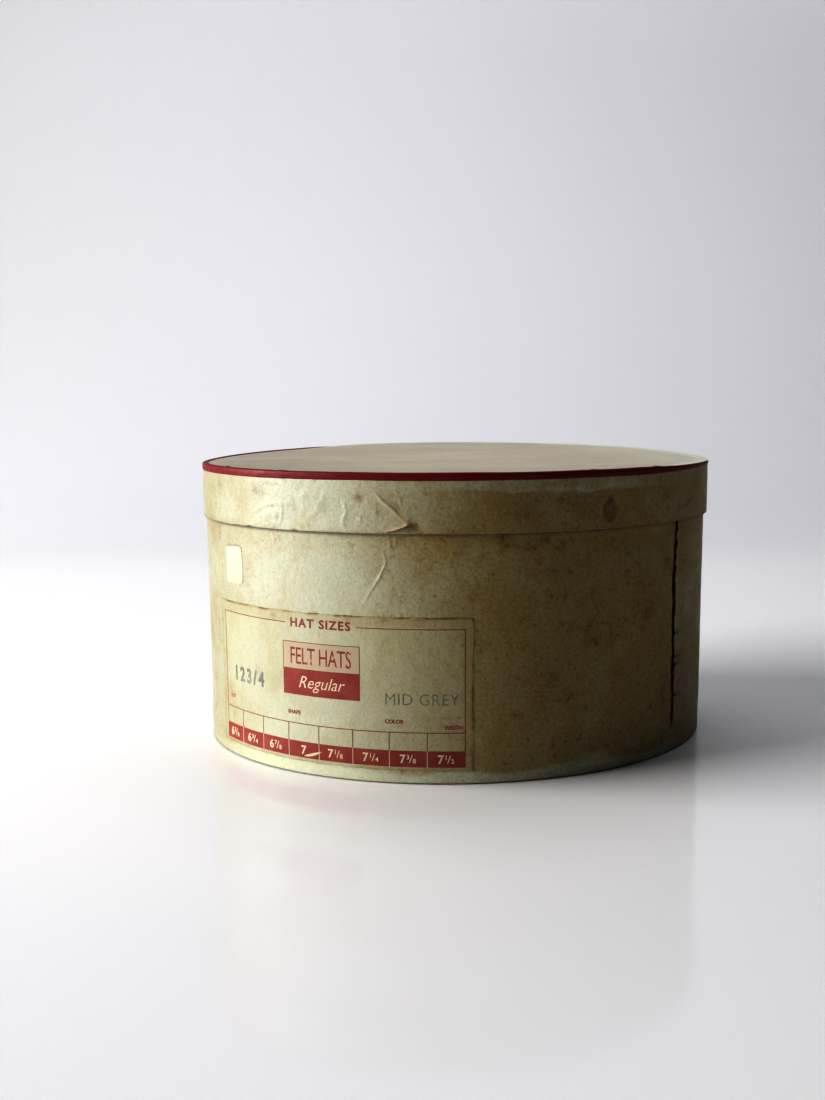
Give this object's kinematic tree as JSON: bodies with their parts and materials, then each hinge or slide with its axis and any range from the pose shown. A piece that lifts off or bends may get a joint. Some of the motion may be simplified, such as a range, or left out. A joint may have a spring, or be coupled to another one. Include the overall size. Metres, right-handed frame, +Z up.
{
  "type": "oval hat box",
  "caption": "Oval pasteboard hat box with a lift-off lid, papered outside and lined inside, a red edge binding, a size label and a small sticker.",
  "frame": {"origin": "centre of the box's underside, on the surface it stands on", "axes": "+X along the oval's length, towards the side with the joint in the wall; +Y towards the back, away from the label; +Z up, the way the lid lifts"},
  "size_m": [0.341, 0.287, 0.182],
  "materials": {
    "pasteboard": "matte grey-brown pasteboard",
    "cover_paper": "matte sage-green paper, aged and spotted",
    "top_paper": "matte grey-beige paper",
    "lining_paper": "matte cream paper",
    "gummed_paper": "smooth brown gummed paper",
    "label_paper": "smooth pale paper with dark red printing",
    "sticker_paper": "smooth cream paper",
    "binding_paper": "satin crimson paper"
  },
  "bodies": {
    "box": {"wall_strip": "pasteboard", "bottom_board": "pasteboard", "wall_cover_paper": "cover_paper", "bottom_cover_paper": "cover_paper", "wall_lining_paper": "lining_paper", "floor_lining_paper": "lining_paper", "wall_joint_tape": "gummed_paper", "floor_corner_strip": "gummed_paper", "size_label": "label_paper", "price_sticker": "sticker_paper"},
    "lid": {"lid_top_board": "pasteboard", "lid_rim_strip": "pasteboard", "lid_top_paper": "top_paper", "lid_rim_paper": "cover_paper", "lid_edge_binding": "binding_paper", "lid_lining_paper": "lining_paper", "rim_lining_paper": "lining_paper", "rim_joint_tape": "gummed_paper", "lid_corner_strip": "gummed_paper"}
  },
  "joints": [
    {"name": "lid_lift", "type": "slide", "parent": "box", "child": "lid", "axis": [0, 0, 1], "range_m": [0, 0.24]}
  ]
}
